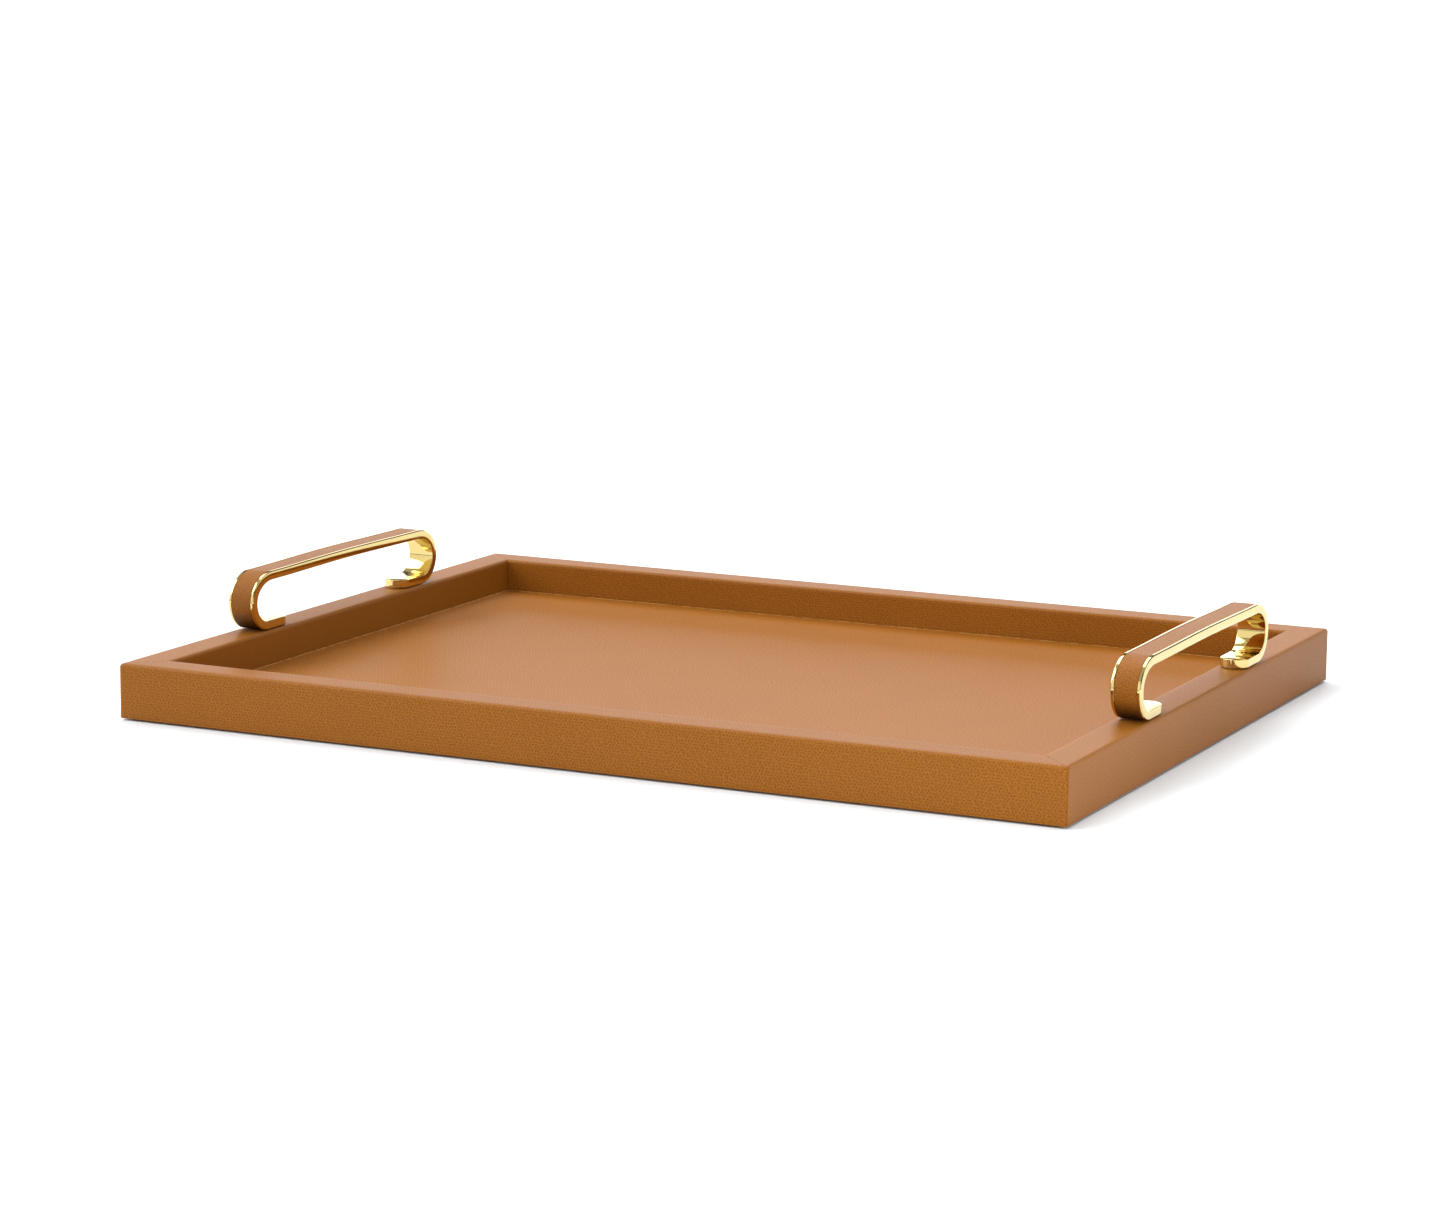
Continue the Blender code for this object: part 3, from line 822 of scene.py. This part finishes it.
def top_points():
    """Places along the slightly arched top, between the two bends."""
    stations = []
    for step in range(1, TOP_STEPS):
        share = 2 * step / TOP_STEPS - 1
        drop = TOP_ARCH * (1 - math.cos(math.pi * share)) / 2
        slope = TOP_ARCH * math.sin(math.pi * share) * math.pi / 2 / TOP_END
        spot = Vector((TOP_END * share, HANDLE_HEIGHT - drop))
        stations.append((spot, Vector((slope, 1)).normalized()))
    return stations


def bend_angles(start):
    """Angles from the start, counted up from the lowest point, to the top of the bend."""
    steps = [math.pi * i / BEND_STEPS for i in range(BEND_STEPS + 1)]
    return [angle - math.pi / 2 for angle in [start] + [a for a in steps if a > start + LEAST_TURN]]


def mirrored(half_section):
    """A whole section from its right half, which runs from the inner face up to the outer."""
    return half_section + [(-x, height) for x, height in reversed(half_section)]


def bar_section(half_width, depth):
    """The bar's section, with small rounds on its edges and the channel for the leather."""
    chamfer = min(LIP_CHAMFER, half_width * 0.3)
    inner_round = min(INNER_ROUND, half_width * 0.3)
    lip = min(LIP, half_width * 0.6)
    half_section = []
    for k in range(ROUND_STEPS + 1):
        angle = math.pi / 2 * k / ROUND_STEPS
        half_section.append((
            half_width - inner_round + inner_round * math.sin(angle),
            -BAR_THICKNESS + inner_round - inner_round * math.cos(angle),
        ))
    soft = min(CHAMFER_ROUND, chamfer * 0.3)
    half_section.append((half_width, -chamfer - soft))
    half_section.append((half_width - soft * 0.3, -chamfer + soft * 0.4))
    half_section.append((half_width - chamfer + soft * 0.4, -soft * 0.3))
    half_section.append((half_width - chamfer - soft, 0))
    half_section.append((half_width - lip + LIP_EASE, 0))
    half_section.append((half_width - lip, -min(depth, LIP_EASE)))
    half_section.append((half_width - lip, -depth))
    return mirrored(half_section)


def bar_rings():
    """Sections from one foot's rounded tip, up, over and down to the other's."""
    down = Vector((0, -1))
    halves = []
    for end in (-1, 1):
        rings = []
        for step in range(1, TIP_STEPS + 1):
            angle = math.pi / 2 * step / TIP_STEPS
            spot = Vector((end * (TIP_CENTRE - BAR_WIDTH / 2 * math.cos(angle)), 0))
            rings.append((spot, down, bar_section(BAR_WIDTH / 2 * math.sin(angle), 0)))
        full = bar_section(BAR_WIDTH / 2, 0)
        channelled = bar_section(BAR_WIDTH / 2, CHANNEL_DEPTH)
        solid_angles = [
            CHANNEL_START * k / SOLID_STEPS - math.pi / 2 for k in range(SOLID_STEPS + 1)
        ]
        rings += [(spot, outward, full) for spot, outward in bend_points(end, solid_angles)]
        rings += [
            (spot, outward, channelled)
            for spot, outward in bend_points(end, bend_angles(CHANNEL_START))
        ]
        halves.append(rings)
    top = [(spot, outward, channelled) for spot, outward in top_points()]
    return halves[0] + top + halves[1][::-1]


def swept(rings):
    """Sections joined into a closed shape, with the grain running along it."""
    points = [
        [Vector((x, *(spot + outward * height))) for x, height in section]
        for spot, outward, section in rings
    ]
    travel = 0.0
    spots = []
    for i, (spot, _, section) in enumerate(rings):
        if i:
            travel += (spot - rings[i - 1][0]).length
        row = [(travel, x) for x, _ in section]
        spots.append(row + [row[-1]])
    return skin(points, spots)


def inlay_section():
    """The leather strip's section: rounded long edges and a slight crown."""
    half_width = BAR_WIDTH / 2 - LIP - INLAY_CLEARANCE
    bottom = INLAY_CLEARANCE - CHANNEL_DEPTH
    half_section = [(half_width, bottom)]
    for k in range(INLAY_STEPS + 1):
        angle = math.pi / 2 * k / INLAY_STEPS
        half_section.append((
            half_width - INLAY_EDGE * (1 - math.cos(angle)),
            -INLAY_DEPTH - INLAY_EDGE * (1 - math.sin(angle)),
        ))
    flat = half_width - INLAY_EDGE
    for k in range(1, INLAY_STEPS):
        x = flat * (1 - k / INLAY_STEPS)
        half_section.append((x, -INLAY_DEPTH + INLAY_CROWN * (1 - (x / flat) ** 2)))
    return mirrored(half_section)


def inlay_rings():
    """Sections from one end of the leather strip to the other."""
    start = CHANNEL_START + INLAY_CLEARANCE / LOWER_BEND
    first, last = [bend_points(end, bend_angles(start)) for end in (-1, 1)]
    section = inlay_section()
    return [(spot, outward, section) for spot, outward in first + top_points() + last[::-1]]


def screw_spots(sign, z):
    """Where the two screws of one handle cross a height."""
    return [(sign * HANDLE_X, end * SCREW_Y, z) for end in (-1, 1)]


def make_handle(side, sign, metal, hide):
    """One handle's bar with its tapped holes, and its leather strip."""
    bar = make_piece(side + "_handle_polished_bar", swept(bar_rings()), metal, sharp=30)
    strip = make_piece(side + "_handle_leather_strip", swept(inlay_rings()), hide, sharp=50)
    for piece in (bar, strip):
        piece.data.transform(Matrix.Translation((sign * HANDLE_X, 0, HANDLE_BASE)))
    stand_in(bar, side + "_handle_bar")
    stand_in(strip, side + "_handle_leather")
    hole_end = SCREW_HIGH.z - HANDLE_BASE + CLEARANCE
    tapped = turned_cutter([(TAPPED_RADIUS, -BAR_THICKNESS), (TAPPED_RADIUS, hole_end)])
    drill(bar, tapped, screw_spots(sign, HANDLE_BASE))


# ---------------------------------------------------------------- the whole object


def dress_cad():
    """Finer materials for the CAD nodes that keep their shape."""
    finishes = {
        "rail_wood": fibreboard(),
        "board_wood": fibreboard(),
        "tongue_wood": beech(),
        "liner_suede": suede(),
        "screw_steel": zinc_steel(),
    }
    for row in frame["record"]["subparts"]:
        if row["material_slot"] not in finishes:
            continue
        node = frame["nodes"][row["node"]]
        node.data.materials.clear()
        node.data.materials.append(finishes[row["material_slot"]])


def build_leather():
    """The four rails' covers, the left and right ones with the screws' passages, and the floor."""
    cover = leather("cover_leather", 1.85 * MM, 0.68, calm=0.62)
    # The floor panel's half length and half width, inside whose edge the painted highlight runs.
    panel = (FLOOR_HIGH.x, FLOOR_HIGH.y)
    floor = leather(
        "floor_leather", 2.0 * MM, 0.26, roughness=0.41, relief=0.06 * MM, edge=panel
    )
    passage = turned_cutter([
        (COUNTERBORE_RADIUS, 0),
        (COUNTERBORE_RADIUS, WASHER_TOP + CLEARANCE),
        (PASSAGE_RADIUS, WASHER_TOP + CLEARANCE),
        (PASSAGE_RADIUS, RIM_TOP + BAR_THICKNESS),
    ])
    for index, side in enumerate(SIDES):
        piece = make_cover(side, SEED_STEP * index, cover)
        sign = SIDES[side].x
        if sign:
            drill(piece, passage, screw_spots(sign, 0))
    make_floor(floor)


def build_handles():
    """Both handles, with one brass and one leather between them."""
    metal = brass()
    # The heights between which the painted shade on the strips' lower ends fades out.
    ends = (HANDLE_BASE + 1.0 * MM, HANDLE_BASE + 14.0 * MM)
    hide = leather("inlay_leather", 1.4 * MM, 0.78, relief=0.80 * MM, calm=0.6, end_shade=ends)
    for side, sign in (("left", -1), ("right", 1)):
        make_handle(side, sign, metal, hide)


# ---------------------------------------------------------------- stage, light and camera


def make_stage():
    """A plain pale floor just under the tray."""
    bpy.ops.mesh.primitive_plane_add(size=STAGE_SIZE, location=(0, 0, -STAGE_DROP))
    floor = bpy.context.object
    floor.name = "studio_floor"
    n = material_nodes("studio_white")
    mottle = n.noise(n.object_coordinates(), 3.0)
    n.set(Base_Color=n.mix(mottle, *STUDIO_WHITES), Roughness=0.7)
    floor.data.materials.append(n.owner)


def make_world():
    """A soft studio all round: two softboxes, bands at the front, back and right, and a ceiling."""
    world = bpy.data.worlds.new("studio")
    bpy.context.scene.world = world
    n = Nodes(world)
    sight = n.add("ShaderNodeTexCoord").outputs["Generated"]
    height = n.split(sight)["Z"]

    def facing(direction, low, high):
        """How far a direction of sight turns to this one: 0 at the low cosine, 1 at the high."""
        node = n.add("ShaderNodeVectorMath", {0: sight, 1: Vector(direction).normalized()})
        node.operation = "DOT_PRODUCT"
        return n.remap(node.outputs["Value"], low, high)

    total = n.math("MULTIPLY", n.remap(height, *CEILING_HEIGHTS), CEILING_GLOW)
    for direction, radius, glow in SOFTBOXES:
        inner = math.cos(math.radians(radius - SOFTBOX_BLUR))
        outer = math.cos(math.radians(radius + SOFTBOX_BLUR))
        total = n.math("ADD", total, n.math("MULTIPLY", facing(direction, outer, inner), glow))
    for direction, low, high, start, end, glow in BANDS:
        above = n.remap(height, low - BAND_FOOT_BLUR, low + BAND_FOOT_BLUR)
        below = n.remap(height, high + BAND_TOP_BLUR, high - BAND_TOP_BLUR)
        band = n.math("MULTIPLY", above, below)
        band = n.math("MULTIPLY", band, facing(direction, start, end))
        total = n.math("ADD", total, n.math("MULTIPLY", band, glow))
    background = n.tree.nodes["Background"]
    n.feed(background.inputs["Strength"], n.math("ADD", total, DIM_GLOW))
    n.feed(background.inputs["Color"], (1.0, 1.0, 1.0, 1.0))


def make_fill_light():
    """A soft lamp that brightens the right wall, and is seen neither directly nor in the brass."""
    spot, aim, size, watts = FILL
    lamp = bpy.data.lights.new("near_corner_fill", "AREA")
    lamp.shape = "RECTANGLE"
    lamp.size, lamp.size_y = size
    lamp.energy = watts
    light = bpy.data.objects.new("near_corner_fill", lamp)
    bpy.context.scene.collection.objects.link(light)
    light.location = spot
    light.rotation_euler = (Vector(aim) - Vector(spot)).to_track_quat("-Z", "Y").to_euler()
    light.visible_camera = False
    light.visible_glossy = False


def make_camera():
    """The camera as it stood for the photograph."""
    data = bpy.data.cameras.new("photo_camera")
    camera = bpy.data.objects.new("photo_camera", data)
    bpy.context.scene.collection.objects.link(camera)
    data.sensor_width = 36.0
    data.lens = CAMERA_LENS
    data.clip_start = 0.05
    data.clip_end = 100.0
    spot = CAMERA_SPOT * (2 * HALF_LENGTH) + Vector((0, 0, COVER_BOTTOM))
    turn = Matrix.Rotation(CAMERA_YAW, 4, "Z") @ Matrix.Rotation(math.pi / 2 - CAMERA_PITCH, 4, "X")
    camera.matrix_world = Matrix.Translation(spot) @ turn @ Matrix.Rotation(CAMERA_ROLL, 4, "Z")
    bpy.context.scene.camera = camera


make_camera()
dress_cad()
build_leather()
build_handles()
make_stage()
make_world()
make_fill_light()
bpy.context.scene.view_settings.view_transform = "Standard"
